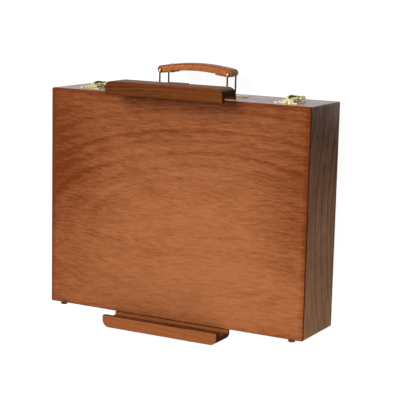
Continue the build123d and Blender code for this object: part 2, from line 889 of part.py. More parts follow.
with BuildPart() as bail_clip_right:
    with BuildSketch(Plane.XY.offset(handle_z - clip_w / 2)):
        with Locations((bail_x, foot_y)):
            Circle(clip_barrel_r)
        with Locations((bail_x + clip_reach / 2, half_h + clip_t / 2)):
            Rectangle(clip_reach, clip_t)
        with Locations((bail_x, foot_y)):
            Circle(bail_r + apart, mode=Mode.SUBTRACT)
    extrude(amount=clip_w)
    clip_end = bail_clip_right.edges().filter_by(Axis.Y).sort_by(Axis.X)[-2:]
    fillet(clip_end, clip_end_r)
    bore(dome_shank_r + screw_clear, dome_places, clip_t)
save(bail_clip_right, "bail_clip_right")
mirrored(bail_clip_right, "bail_clip_left")

dome_arc_r = (dome_r**2 + dome_h**2) / (2 * dome_h)
dome_middle = (dome_r / 2, sqrt(dome_arc_r**2 - dome_r**2 / 4) - dome_arc_r + dome_h)
with BuildPart() as dome_screw:
    with BuildSketch(Plane.XZ):
        with BuildLine():
            Polyline(
                (0, dome_h),
                (0, -dome_shank_len),
                (dome_shank_r, dome_shank_r - dome_shank_len),
                (dome_shank_r, 0),
                (dome_r, 0),
            )
            ThreePointArc((dome_r, 0), dome_middle, (0, dome_h))
        make_face()
    revolve(axis=Axis.Z)
screws_at(dome_screw.part, dome_places, "bail_clip_screws")

grip_top = half_h + grip_rise
loop_top = top_y + loop_r
arc_r = (bail_x**2 + (grip_top - loop_top) ** 2) / (2 * (grip_top - loop_top))
arc_y = grip_top - arc_r


def grip_height(x, depth):
    """Height of the grip's arch at x, a given depth below its upper face."""
    return arc_y + sqrt((arc_r - depth) ** 2 - x**2)


rivet_top = grip_height(rivet_x, 0) - rivet_head_h / 2
flap_slope = (grip_height(flap_x, grip_t) - flap_t - top_y + loop_r) / (flap_x - bail_x)
rivet_low = top_y - loop_r + flap_slope * (rivet_x - bail_x) + rivet_head_h / 2
rivet_spots = [(side * rivet_x, handle_z) for side in SIDES.values()]

with BuildPart() as handle_grip:
    with BuildSketch(Plane.XY.offset(handle_z - grip_w / 2)):
        with BuildLine():
            ThreePointArc((-bail_x, loop_top), (0, grip_top), (bail_x, loop_top))
            for sign in SIDES.values():
                ThreePointArc(
                    (sign * bail_x, loop_top),
                    (sign * (bail_x + loop_r), top_y),
                    (sign * bail_x, top_y - loop_r),
                )
                Line(
                    (sign * bail_x, top_y - loop_r),
                    (sign * flap_x, grip_height(flap_x, grip_t) - flap_t),
                )
                Line(
                    (sign * flap_x, grip_height(flap_x, grip_t) - flap_t),
                    (sign * flap_x, grip_height(flap_x, grip_t)),
                )
            ThreePointArc(
                (-flap_x, grip_height(flap_x, grip_t)),
                (0, grip_top - grip_t),
                (flap_x, grip_height(flap_x, grip_t)),
            )
        make_face()
        with Locations((-bail_x, top_y), (bail_x, top_y)):
            Circle(bail_r + loop_bore, mode=Mode.SUBTRACT)
    extrude(amount=grip_w)
    upper = handle_grip.faces().sort_by(Axis.Y)[-1]
    fillet(upper.edges().filter_by(GeomType.CIRCLE), grip_edge_r)
    for x, z in rivet_spots:
        bore(rivet_r + screw_clear, [facing((x, grip_top, z), (0, 1, 0))], grip_top - top_y + 2 * loop_r)
        bore(rivet_head_r + screw_clear, [facing((x, grip_top, z), (0, 1, 0))], grip_top - rivet_top)
        bore(
            rivet_head_r + screw_clear,
            [facing((x, top_y - 2 * loop_r, z), (0, -1, 0))],
            rivet_low - top_y + 2 * loop_r,
        )
save(handle_grip, "handle_grip")

with BuildPart() as grip_rivets:
    for x, z in rivet_spots:
        for y, amount, radius in (
            (rivet_low, rivet_top - rivet_low, rivet_r),
            (rivet_top, rivet_head_h, rivet_head_r),
            (rivet_low - rivet_head_h, rivet_head_h, rivet_head_r),
        ):
            with BuildSketch(Plane(origin=(x, y, z), z_dir=(0, 1, 0))):
                Circle(radius)
            extrude(amount=amount)
save(grip_rivets, "grip_rivets")


# Bumpers
def make_bumpers(z, name):
    """A pair of round bumpers on the hinge edge's outer face."""
    with BuildPart() as bumpers:
        for sign in SIDES.values():
            with BuildSketch(Plane(origin=(sign * bumper_x, -half_h, z), z_dir=(0, -1, 0))):
                Circle(bumper_r)
            extrude(amount=bumper_h)
        rims = bumpers.edges().filter_by(GeomType.CIRCLE).group_by(Axis.Y)[0]
        fillet(rims, bumper_edge_r)
    save(bumpers, name)


make_bumpers(case_d - lid_bumper_depth, "lid_bumpers")
make_bumpers(base_bumper_z, "base_bumpers")

# The small screws, one group for each half of the case
screws_at(
    small_screw,
    base_hinge_screws + plate_screws + track_screws["left"] + track_screws["right"],
    "base_screws",
)
screws_at(
    small_screw,
    lid_hinge_screws + catch_screws + bracket_screws["left"] + bracket_screws["right"] + cover_screws,
    "lid_screws",
)
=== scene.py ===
import math

import bmesh
import bpy
from mathutils import Matrix, Vector


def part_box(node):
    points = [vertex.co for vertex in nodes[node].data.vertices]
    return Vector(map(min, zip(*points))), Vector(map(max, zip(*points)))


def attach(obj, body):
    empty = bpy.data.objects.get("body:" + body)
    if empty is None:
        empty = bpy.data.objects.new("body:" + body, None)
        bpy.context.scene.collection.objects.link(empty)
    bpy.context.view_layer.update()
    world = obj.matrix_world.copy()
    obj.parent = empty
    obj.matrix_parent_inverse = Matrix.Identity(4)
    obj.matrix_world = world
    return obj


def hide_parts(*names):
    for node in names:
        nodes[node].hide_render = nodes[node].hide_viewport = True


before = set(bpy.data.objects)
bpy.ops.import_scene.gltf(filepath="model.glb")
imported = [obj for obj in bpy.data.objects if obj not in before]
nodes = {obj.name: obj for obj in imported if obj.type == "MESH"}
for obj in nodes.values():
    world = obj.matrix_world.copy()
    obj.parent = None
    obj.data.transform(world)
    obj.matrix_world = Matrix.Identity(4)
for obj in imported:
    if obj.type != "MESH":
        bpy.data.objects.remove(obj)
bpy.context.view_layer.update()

# The camera stands 28 degrees to the right of the easel board and 10 degrees above it, about 1.6 m
# away with a long lens. The case lies on its back, so "above" is towards its handle edge.
camera_place = (0.7618, 0.2813, 1.4124)
azimuth, elevation, roll = (math.radians(angle) for angle in (28.25, 10.27, 1.39))
look = Vector(
    (
        -math.sin(azimuth) * math.cos(elevation),
        -math.sin(elevation),
        -math.cos(azimuth) * math.cos(elevation),
    )
)
level = Vector((math.cos(azimuth), 0.0, -math.sin(azimuth)))
upright = level.cross(look)
right = math.cos(roll) * level + math.sin(roll) * upright
top = math.cos(roll) * upright - math.sin(roll) * level
aim = Matrix((right, top, -look)).transposed().to_4x4()
lens = bpy.data.cameras.new("long_lens")
lens.sensor_width = 36.0
lens.lens = 116.46
lens.clip_end = 20.0
camera = bpy.data.objects.new("long_lens", lens)
camera.matrix_world = Matrix.Translation(camera_place) @ aim
bpy.context.scene.collection.objects.link(camera)
bpy.context.scene.camera = camera

# Soft studio light: one large diffused lamp high on the handle side and to the left, a small white
# card low on the right, and a white tent round the room. The tent is brightest beyond the handle
# edge, so lacquer and metal mirror a light sky there and a dim room in front of the easel board.
bpy.context.scene.view_settings.view_transform = "Standard"


def add_node(tree, kind, inputs=None, stops=None, **settings):
    """Adds a shader node, sets it, and gives its sockets their values or links. Sockets whose names
    repeat go by number: in a Map Range 1 and 2 are the range taken and 3 and 4 the range given, and
    in a colour Mix 0 is the second colour's share, 6 the first colour and 7 the second."""
    made = tree.nodes.new(kind)
    for key, value in settings.items():
        setattr(made, key, value)
    for key, value in (inputs or {}).items():
        if isinstance(value, bpy.types.NodeSocket):
            tree.links.new(value, made.inputs[key])
        else:
            made.inputs[key].default_value = value
    for index, (place, colour) in enumerate(stops or ()):
        ramp = made.color_ramp.elements
        stop = ramp[index] if index < len(ramp) else ramp.new(place)
        stop.position = place
        stop.color = colour
    return made


def srgb(code):
    """A colour written as it looks on a screen, as the linear values that a shader takes."""
    parts = [int(code[i : i + 2], 16) / 255 for i in (1, 3, 5)]
    return [p / 12.92 if p <= 0.04045 else ((p + 0.055) / 1.055) ** 2.4 for p in parts] + [1.0]


white = srgb("#FFFFFF")
tent_light = 0.42
sky_from, sky_to = -0.15, 0.75
sky_dim, sky_bright = 0.14, 1.15
room = bpy.data.worlds.new("studio_tent")
room.use_nodes = True
tree = room.node_tree
tree.nodes.clear()
ray = add_node(tree, "ShaderNodeLightPath")
way = add_node(tree, "ShaderNodeTexCoord")
way = add_node(tree, "ShaderNodeSeparateXYZ", {"Vector": way.outputs["Generated"]})
sky = add_node(
    tree,
    "ShaderNodeMapRange",
    {"Value": way.outputs["Y"], 1: sky_from, 2: sky_to, 3: sky_dim, 4: sky_bright},
    interpolation_type="SMOOTHSTEP",
)
scattered = add_node(tree, "ShaderNodeBackground", {"Color": white, "Strength": tent_light})
mirrored = add_node(tree, "ShaderNodeBackground", {"Color": white, "Strength": sky.outputs[0]})
seen = add_node(tree, "ShaderNodeBackground", {"Color": white, "Strength": 1.0})
glossy = add_node(
    tree,
    "ShaderNodeMixShader",
    {0: ray.outputs["Is Glossy Ray"], 1: scattered.outputs[0], 2: mirrored.outputs[0]},
)
whole = add_node(
    tree,
    "ShaderNodeMixShader",
    {0: ray.outputs["Is Camera Ray"], 1: glossy.outputs[0], 2: seen.outputs[0]},
)
add_node(tree, "ShaderNodeOutputWorld", {"Surface": whole.outputs[0]})
bpy.context.scene.world = room

for name, place, side, watts in (
    ("softbox", (-0.85, 1.05, 1.95), 1.5, 36.0),
    ("white_card", (0.62, -0.62, 0.42), 0.5, 2.6),
):
    lamp_data = bpy.data.lights.new(name, "AREA")
    lamp_data.shape = "SQUARE"
    lamp_data.size = side
    lamp_data.energy = watts
    lamp = bpy.data.objects.new(name, lamp_data)
    turned = Vector(place).to_track_quat("Z", "Y").to_matrix().to_4x4()
    lamp.matrix_world = Matrix.Translation(place) @ turned
    bpy.context.scene.collection.objects.link(lamp)

# The table top under the case: a white matt laminate sheet. To the eye it is as white as the tent
# and keeps the case's soft shadow. Polished faces mirror it, whitest on the handle side, and it
# scatters a mid grey on to the case.
table_half = 3.0
seen_glow = 0.88
glow_from, glow_to = -0.10, -0.03
glow_dim, glow_bright = 0.2, 1.0
table_corners = [(-table_half, -table_half, 0.0), (table_half, -table_half, 0.0)]
table_corners += [(table_half, table_half, 0.0), (-table_half, table_half, 0.0)]
table_mesh = bpy.data.meshes.new("table_top")
table_mesh.from_pydata(table_corners, [], [(0, 1, 2, 3)])
table = bpy.data.objects.new("table_top", table_mesh)
bpy.context.scene.collection.objects.link(table)


def start_material(name):
    """A new material with its tree emptied, ready for its nodes."""
    made = bpy.data.materials.new(name)
    made.use_nodes = True
    made.node_tree.nodes.clear()
    return made, made.node_tree


laminate, tree = start_material("white_matt_laminate")
ray = add_node(tree, "ShaderNodeLightPath")
spot = add_node(tree, "ShaderNodeTexCoord")
spot = add_node(tree, "ShaderNodeSeparateXYZ", {"Vector": spot.outputs["Object"]})
beyond = add_node(
    tree, "ShaderNodeMath", {0: spot.outputs["Y"], 1: spot.outputs["X"]}, operation="SUBTRACT"
)
glow = add_node(
    tree,
    "ShaderNodeMapRange",
    {"Value": beyond.outputs[0], 1: glow_from, 2: glow_to, 3: glow_dim, 4: glow_bright},
    interpolation_type="SMOOTHSTEP",
)
matt = add_node(tree, "ShaderNodeBsdfDiffuse", {"Color": srgb("#8C8C8C")})
lit = add_node(tree, "ShaderNodeEmission", {"Color": white, "Strength": seen_glow})
seen = add_node(tree, "ShaderNodeAddShader", {0: matt.outputs[0], 1: lit.outputs[0]})
mirrored = add_node(tree, "ShaderNodeEmission", {"Color": white, "Strength": glow.outputs[0]})
glossy = add_node(
    tree,
    "ShaderNodeMixShader",
    {0: ray.outputs["Is Glossy Ray"], 1: matt.outputs[0], 2: mirrored.outputs[0]},
)
whole = add_node(
    tree,
    "ShaderNodeMixShader",
    {0: ray.outputs["Is Camera Ray"], 1: glossy.outputs[0], 2: seen.outputs[0]},
)
add_node(tree, "ShaderNodeOutputMaterial", {"Surface": whole.outputs[0]})
table_mesh.materials.append(laminate)


# Case walls: solid beech stained walnut brown and sprayed with satin lacquer, mitred and glued at
# the corners. The grain runs along each wall; the eye sees fine dark flecks on soft growth bands.
def stained_wood(
    name,
    pale,
    deep,
    end,
    turned=False,
    eye=(0.0, -900.0),
    oval=1.0,
    tilt=0.0,
    slant=38.0,
    band=7.0,
    wander=7.0,
    start=0.3,
    band_force=0.5,
    fleck_force=0.5,
    patch_force=0.3,
    arcs=None,
    fade=None,
    marks=(),
    burst=None,
    rim=None,
    painted_y_face_shade=0.0,
    rough=0.42,
    shine=0.35,
):
    """Stained and lacquered wood, in millimetres of the real board. Growth bands are tilted ovals
    round an eye, which is far off for straight grain; flecks follow them. Beech's own flecks are
    about 3 by 0.3 mm; here they are 13 by 1.9 mm, so that they show from a step away. arcs adds
    chosen dark bands, which fade across the board, marks round spots, burst darkens away from a
    point, rim the board's edge, and the y-face shade darkens the faces that look along y, as
    painted shade."""
    sway_long, sway_wide = 150.0, 45.0
    patches_per_sway = 2.3
    fleck_long, fleck_wide = 13.0, 1.9
    held_share = 0.25
    graze, full_face = 0.55, 0.95
    end_share, end_rough, fleck_rough = 0.9, 0.45, 0.08
    made, tree = start_material(name)
    place = add_node(tree, "ShaderNodeTexCoord")
    quarter = (0.0, 0.0, math.radians(-90.0 if turned else 0.0))
    board = add_node(
        tree,
        "ShaderNodeMapping",
        {"Vector": place.outputs["Object"], "Rotation": quarter, "Scale": (1000.0, 1000.0, 1000.0)},
    )
    flat = add_node(
        tree,
        "ShaderNodeVectorMath",
        {0: board.outputs[0], 1: (1.0, 1.0, 0.0)},
        operation="MULTIPLY",
    )
    drift = add_node(
        tree,
        "ShaderNodeMapping",
        {"Vector": board.outputs[0], "Scale": (1 / sway_long, 1 / sway_wide, 1 / sway_wide)},
    )
    wave = add_node(
        tree, "ShaderNodeTexNoise", {"Vector": drift.outputs[0], "Scale": 1.0, "Detail": 3.0}
    )
    swayed = add_node(
        tree,
        "ShaderNodeVectorMath",
        {0: wave.outputs["Color"], 1: (0.0, wander, 0.0), 2: board.outputs[0]},
        operation="MULTIPLY_ADD",
    )
    oval_place = add_node(
        tree,
        "ShaderNodeMapping",
        {
            "Vector": swayed.outputs[0],
            "Location": (eye[0], eye[1] + wander / 2, 0.0),
            "Rotation": (math.radians(slant), 0.0, math.radians(tilt)),
            "Scale": (oval, 1.0, 1000.0),
        },
        vector_type="TEXTURE",
    )
    ring = add_node(tree, "ShaderNodeVectorMath", {0: oval_place.outputs[0]}, operation="LENGTH")
    bands = add_node(
        tree,
        "ShaderNodeTexNoise",
        {"W": ring.outputs["Value"], "Scale": 1 / band, "Detail": 2.0, "Roughness": 0.6},
        noise_dimensions="1D",
    )
    fibre = add_node(
        tree,
        "ShaderNodeMapping",
        {"Vector": swayed.outputs[0], "Scale": (1 / fleck_long, 1 / fleck_wide, 1 / fleck_wide)},
    )
    flecks = add_node(
        tree,
        "ShaderNodeTexNoise",
        {"Vector": fibre.outputs[0], "Scale": 1.0, "Detail": 3.0, "Roughness": 0.7},
    )
    patches = add_node(
        tree,
        "ShaderNodeTexNoise",
        {"Vector": drift.outputs[0], "Scale": patches_per_sway, "Detail": 2.0},
    )
    layers = add_node(
        tree,
        "ShaderNodeCombineXYZ",
        {0: bands.outputs["Fac"], 1: flecks.outputs["Fac"], 2: patches.outputs["Fac"]},
    )
    weights = (1.5 * band_force, 1.5 * fleck_force, patch_force)
    grain = add_node(
        tree, "ShaderNodeVectorMath", {0: layers.outputs[0], 1: weights}, operation="DOT_PRODUCT"
    )
    total = add_node(
        tree,
        "ShaderNodeMath",
        {0: grain.outputs["Value"], 1: start - sum(weights) / 2},
        operation="ADD",
    )
    if arcs:
        widest = arcs[-1][0]
        reach = add_node(
            tree,
            "ShaderNodeMapRange",
            {0: ring.outputs["Value"], 1: 0.0, 2: widest, 3: 0.0, 4: 1.0},
        )
        stops = [(radius / widest, (force, force, force, 1.0)) for radius, force in arcs]
        chosen = add_node(tree, "ShaderNodeValToRGB", {"Fac": reach.outputs[0]}, stops)
        across = add_node(tree, "ShaderNodeSeparateXYZ", {"Vector": board.outputs[0]})
        held = add_node(
            tree,
            "ShaderNodeMapRange",
            {0: across.outputs[1], 1: fade[0], 2: fade[1], 3: held_share, 4: 1.0},
        )
        total = add_node(
            tree,
            "ShaderNodeMath",
            {0: chosen.outputs["Color"], 1: held.outputs[0], 2: total.outputs[0]},
            operation="MULTIPLY_ADD",
        )
    for (mark_x, mark_y), mark_r, force in marks:
        away = add_node(
            tree,
            "ShaderNodeVectorMath",
            {0: flat.outputs[0], 1: (mark_x, mark_y, 0.0)},
            operation="DISTANCE",
        )
        spot = add_node(
            tree,
            "ShaderNodeMapRange",
            {0: away.outputs["Value"], 1: mark_r / 3, 2: mark_r, 3: force, 4: 0.0},
        )
        total = add_node(
            tree, "ShaderNodeMath", {0: spot.outputs[0], 1: total.outputs[0]}, operation="ADD"
        )
    if burst:
        (burst_x, burst_y), (near, far), force = burst
        away = add_node(
            tree,
            "ShaderNodeVectorMath",
            {0: flat.outputs[0], 1: (burst_x, burst_y, 0.0)},
            operation="DISTANCE",
        )
        shade = add_node(
            tree,
            "ShaderNodeMapRange",
            {0: away.outputs["Value"], 1: near, 2: far, 3: 0.0, 4: force},
        )
        total = add_node(
            tree, "ShaderNodeMath", {0: shade.outputs[0], 1: total.outputs[0]}, operation="ADD"
        )
    if rim:
        half_along, half_across, width, force = rim
        spread = add_node(tree, "ShaderNodeVectorMath", {0: flat.outputs[0]}, operation="ABSOLUTE")
        inset = add_node(
            tree,
            "ShaderNodeVectorMath",
            {0: spread.outputs[0], 1: (half_along - width, half_across - width, 0.0)},
            operation="SUBTRACT",
        )
        inset = add_node(
            tree,
            "ShaderNodeVectorMath",
            {0: inset.outputs[0], 1: (0.0, 0.0, 0.0)},
            operation="MAXIMUM",
        )
        inset = add_node(tree, "ShaderNodeVectorMath", {0: inset.outputs[0]}, operation="LENGTH")
        edge = add_node(
            tree,
            "ShaderNodeMapRange",
            {0: inset.outputs["Value"], 1: 0.0, 2: width, 3: 0.0, 4: force},
        )
        total = add_node(
            tree, "ShaderNodeMath", {0: edge.outputs[0], 1: total.outputs[0]}, operation="ADD"
        )
    facing = add_node(
        tree, "ShaderNodeVectorMath", {0: place.outputs["Normal"]}, operation="ABSOLUTE"
    )
    facing = add_node(tree, "ShaderNodeSeparateXYZ", {"Vector": facing.outputs[0]})
    # Painted shade: faces that look along y are darkened.
    if painted_y_face_shade:
        y_face_shade_amount = add_node(
            tree,
            "ShaderNodeMapRange",
            {0: facing.outputs[1], 1: graze, 2: full_face, 3: 0.0, 4: painted_y_face_shade},
        )
        total = add_node(
            tree, "ShaderNodeMath", {0: y_face_shade_amount.outputs[0], 1: total.outputs[0]}, operation="ADD"
        )
    tone = add_node(
        tree,
        "ShaderNodeMix",
        {0: total.outputs[0], 6: srgb(pale), 7: srgb(deep)},
        data_type="RGBA",
    )
    end_on = add_node(
        tree,
        "ShaderNodeMapRange",
        {0: facing.outputs[1 if turned else 0], 1: graze, 2: full_face, 3: 0.0, 4: end_share},
        interpolation_type="SMOOTHSTEP",
    )
    colour = add_node(
        tree,
        "ShaderNodeMix",
        {0: end_on.outputs[0], 6: tone.outputs[2], 7: srgb(end)},
        data_type="RGBA",
    )
    gloss = add_node(
        tree,
        "ShaderNodeMapRange",
        {0: flecks.outputs["Fac"], 1: 0.33, 2: 0.67, 3: rough, 4: rough + fleck_rough},
    )
    gloss = add_node(
        tree,
        "ShaderNodeMath",
        {0: end_on.outputs[0], 1: end_rough, 2: gloss.outputs[0]},
        operation="MULTIPLY_ADD",
    )
    bump = add_node(
        tree,
        "ShaderNodeBump",
        {"Height": flecks.outputs["Fac"], "Strength": 0.4, "Distance": 0.0002},
        invert=True,
    )
    finish = add_node(
        tree,
        "ShaderNodeBsdfPrincipled",
        {
            "Base Color": colour.outputs[2],
            "Roughness": gloss.outputs[0],
            "Specular IOR Level": shine,
            "Normal": bump.outputs[0],
        },
    )
    add_node(tree, "ShaderNodeOutputMaterial", {"Surface": finish.outputs[0]})
    return made


def dress(material, *names):
    """Gives carried-over pieces their finish."""
    for name in names:
        nodes[name].data.materials.clear()
        nodes[name].data.materials.append(material)


dress(
    stained_wood(
        "stained_beech_long_walls",
        "#8A5038",
        "#502818",
        "#3A1E14",
        band=5.0,
        rough=0.26,
        shine=0.5,
    ),
    "base_wall_hinge_side",
    "base_wall_handle_side",
    "lid_wall_hinge_side",
    "lid_wall_handle_side",
)
dress(
    stained_wood(
        "stained_beech_short_walls",
        "#CC9468",
        "#502A12",
        "#331B12",
        turned=True,
        start=0.0,
        band=3.5,
        band_force=0.4,
        # painted shade: the short walls darken from the hinge edge towards the handle edge
        burst=((-170.0, 0.0), (20.0, 320.0), 0.98),
    ),
    "base_wall_left",
    "base_wall_right",
    "lid_wall_left",
    "lid_wall_right",
)

# Back panel: three-ply board glued on behind the four walls, stained like them. Its crown-cut face
# shows broad growth bands in an oval round an eye near the middle.
dress(
    stained_wood(
        "stained_ply_back",
        "#8A5230",
        "#5A3019",
        "#432314",
        eye=(60.0, 40.0),
        oval=1.8,
        band=14.0,
    ),
    "base_panel",
)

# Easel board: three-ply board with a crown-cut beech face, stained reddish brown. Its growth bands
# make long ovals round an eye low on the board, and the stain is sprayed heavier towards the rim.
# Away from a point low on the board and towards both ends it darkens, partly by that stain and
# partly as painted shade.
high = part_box("lid_panel")[1]
half_board = [high[axis] * 1000 for axis in (0, 1)]
dress(
    stained_wood(
        "stained_ply_easel_board",
        "#B76F42",
        "#78350A",
        "#4A2615",
        eye=(36.0, -28.0),
        oval=2.28,
        tilt=3.1,
        slant=0.0,
        band=5.0,
        wander=9.0,
        start=0.1,
        band_force=0.15,
        fleck_force=0.95,
        patch_force=0.5,
        arcs=(
            (70.0, 0.03), (74.0, 0.0), (79.0, 0.05), (82.0, 0.22), (85.0, 0.04), (92.0, 0.02),
            (98.0, 0.27), (100.5, 0.04), (105.0, 0.02), (109.0, 0.12), (113.0, 0.26), (116.0, 0.03),
            (124.0, 0.29), (127.0, 0.05), (134.0, 0.2), (138.0, 0.05), (147.0, 0.22), (151.0, 0.06),
            (163.0, 0.16), (180.0, 0.08),
        ),
        fade=(-45.0, 30.0),
        marks=(
            ((55.0, -49.0), 10.0, -0.14),
            ((-108.0, -37.0), 11.0, 0.12),
            ((-16.0, -36.0), 10.0, 0.07),
            # partly stain, partly painted shade: the board darkens towards both ends
            ((-185.0, 25.0), 110.0, 0.34),
            ((185.0, 15.0), 100.0, 0.3),
        ),
        # partly a stain sunburst, partly painted shade: darker away from a point low on the board
        burst=((32.0, -80.0), (50.0, 250.0), 0.5),
        rim=(*half_board, 7.0, 0.35),
        rough=0.45,
        shine=0.12,
    ),
    "lid_panel",
)

# Storage tray: thin ply boards glued inside the base, with dadoed dividers. They are lightly
# stained and left matt, so the eye sees pale wood with a soft grain along each board.
for name, turned, boards in (
    ("light_ply_tray_sides", True, ("tray_side_left", "tray_side_right", "dividers_cross")),
    ("light_ply_long_divider", False, ("divider_long",)),
):
    dress(stained_wood(name, "#B9875A", "#8E5F39", "#7A4F2E", turned=turned, rough=0.6), *boards)

# Masts, rails and their cover: planed beech rubbed with wax, held under the easel board. Their
# grain runs the lid's short way, and the wax gives it a dull sheen.
dress(
    stained_wood(
        "waxed_beech_masts", "#B98A5C", "#93633A", "#7A4F2E", turned=True, rough=0.5
    ),
    "clamp_mast",
    "ledge_slide",
    "mast_rail_left",
    "mast_rail_right",
    "mast_cover",
)

# Canvas holders: the ledge and the clamp are beech mouldings screwed to their masts, stained darker
# than the board, with straight grain along them. Their sawn ends drink the stain and turn nearly
# black. The ledge's trough floor and the top of its lip are darkened with painted shade.
dress(
    stained_wood(
        "stained_beech_clamp",
        "#824210",
        "#401B02",
        "#1C0F08",
        eye=(30.0, -1400.0),
        slant=0.0,
        wander=5.0,
        band=2.2,
        band_force=0.6,
        fleck_force=0.8,
        burst=((70.0, 140.0), (10.0, 150.0), 0.3),
        rough=0.45,
        shine=0.1,
    ),
    "clamp_block",
)
dress(
    stained_wood(
        "stained_beech_ledge",
        "#A65D2C",
        "#401E0C",
        "#1C0F08",
        eye=(-60.0, -1500.0),
        slant=0.0,
        wander=5.0,
        band=2.2,
        start=0.12,
        patch_force=0.1,
        # painted shade on the ledge's trough floor and lip top, which lie in shade
        painted_y_face_shade=0.7,
        rough=0.45,
        shine=0.2,
    ),
    "ledge_block",
)

# Hinges, latches, stays and clips: pressed steel, brass plated and polished, held by slotted brass
# wood screws. The plating is a pale gold, wavy from the press and clouded every 2.4 mm by the bath.
# The steel's rolling lines are drawn 2.5 by 0.4 mm, because real ones are too fine to show.
line_long, line_wide = 0.0025, 0.0004
brass, tree = start_material("polished_brass_plate")
place = add_node(tree, "ShaderNodeTexCoord")
lines = add_node(
    tree,
    "ShaderNodeMapping",
    {
        "Vector": place.outputs["Object"],
        "Scale": (1 / line_long, 1 / line_wide, 1 / line_wide),
    },
)
draw = add_node(
    tree, "ShaderNodeTexNoise", {"Vector": lines.outputs[0], "Scale": 1.0, "Detail": 2.0}
)
cloud = add_node(
    tree,
    "ShaderNodeTexNoise",
    {"Vector": place.outputs["Object"], "Scale": 420.0, "Detail": 3.0},
)
tint = add_node(
    tree,
    "ShaderNodeMix",
    {0: cloud.outputs["Fac"], 6: srgb("#D6CDA2"), 7: srgb("#9C8E58")},
    data_type="RGBA",
)
gloss = add_node(
    tree, "ShaderNodeMapRange", {0: draw.outputs["Fac"], 1: 0.3, 2: 0.7, 3: 0.16, 4: 0.3}
)
bump = add_node(
    tree,
    "ShaderNodeBump",
    {"Height": cloud.outputs["Fac"], "Strength": 0.6, "Distance": 0.0012},
)
metal = add_node(
    tree,
    "ShaderNodeBsdfPrincipled",
    {
        "Base Color": tint.outputs[2],
        "Metallic": 1.0,
        "Roughness": gloss.outputs[0],
        "Normal": bump.outputs[0],
    },
)
add_node(tree, "ShaderNodeOutputMaterial", {"Surface": metal.outputs[0]})
dress(brass, *[n for n in nodes if n.startswith(("hinge_", "latch_", "stay_", "bail_clip"))])
dress(brass, "base_screws", "lid_screws", "clamp_screws", "ledge_screws", "grip_rivets")

# Handle bails: bent steel wire with a dark antique plating, cloudy every 4 mm. Over the top 4 to 5
# mm, where it turns in the grip's loops, it is painted bright pale brass: a painted highlight.
dark_below, bright_above = 0.0052, 0.0038
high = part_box("bail_right")[1]
wire, tree = start_material("antique_plated_wire")
place = add_node(tree, "ShaderNodeTexCoord")
cloud = add_node(
    tree,
    "ShaderNodeTexNoise",
    {"Vector": place.outputs["Object"], "Scale": 260.0, "Detail": 4.0},
)
tint = add_node(
    tree,
    "ShaderNodeMix",
    {0: cloud.outputs["Fac"], 6: srgb("#6C5E50"), 7: srgb("#4A4038")},
    data_type="RGBA",
)
height = add_node(tree, "ShaderNodeSeparateXYZ", {"Vector": place.outputs["Object"]})
# Painted highlight: the wire turns bright pale brass over its top few millimetres.
painted_highlight_share = add_node(
    tree,
    "ShaderNodeMapRange",
    {0: height.outputs[1], 1: high[1] - dark_below, 2: high[1] - bright_above, 3: 0.0, 4: 1.0},
)
tint = add_node(
    tree,
    "ShaderNodeMix",
    {0: painted_highlight_share.outputs[0], 6: tint.outputs[2], 7: srgb("#F2DFA0")},
    data_type="RGBA",
)
gloss = add_node(
    tree, "ShaderNodeMapRange", {0: cloud.outputs["Fac"], 1: 0.3, 2: 0.7, 3: 0.22, 4: 0.4}
)
metal = add_node(
    tree,
    "ShaderNodeBsdfPrincipled",
    {"Base Color": tint.outputs[2], "Metallic": 1.0, "Roughness": gloss.outputs[0]},
)
add_node(tree, "ShaderNodeOutputMaterial", {"Surface": metal.outputs[0]})
dress(wire, "bail_left", "bail_right")

# Grip: a 1.3 mm strap of tan vegetable-tanned leather glued round a leather core, looped over both
# bails and riveted back on the underside, where its two cut ends make small steps. The core's sides
# are dyed orange and burnished, and both rims are eased with an edge tool.
low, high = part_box("handle_grip")
bail_low, bail_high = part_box("bail_right")
bail_wire_r = 0.001
strap_t = 0.0013
core_t = 0.0084
flap_x = 0.028
hole_r = 0.0014
strap_eased = 0.00045
core_inset = 0.0002
core_eased = 0.0007
arch_steps, loop_steps, belly_steps, hole_steps = 24, 16, 30, 24
crease = 50.0
loop_x = (bail_low[0] + bail_high[0]) / 2
loop_y = bail_high[1] - bail_wire_r
loop_r = high[0] - loop_x
rise = high[1] - loop_y - loop_r
arch_r = (loop_x**2 + rise**2) / (2 * rise)
arch_y = high[1] - arch_r


def grip_arc(centre, radius, start, stop, count):
    """Points on an arc, from one angle to another in degrees."""
    turns = [math.radians(start + (stop - start) * step / count) for step in range(count + 1)]
    return [(centre[0] + radius * math.cos(a), centre[1] + radius * math.sin(a)) for a in turns]


def grip_half(inset):
    """The right half of the strap's path, a given depth inside it: along the arch from the middle,
    round the loop and back along the underside to the cut end."""
    half_turn = math.degrees(math.asin(loop_x / arch_r))
    arch = grip_arc((0.0, arch_y), arch_r - inset, 90.0, 90.0 - half_turn, arch_steps)
    loop = grip_arc((loop_x, loop_y), loop_r - inset, 90.0 - half_turn, -90.0, loop_steps)
    under = arch_y + math.sqrt((arch_r - core_t) ** 2 - flap_x**2)
    return arch + loop[1:] + [(flap_x, under - strap_t + inset)]


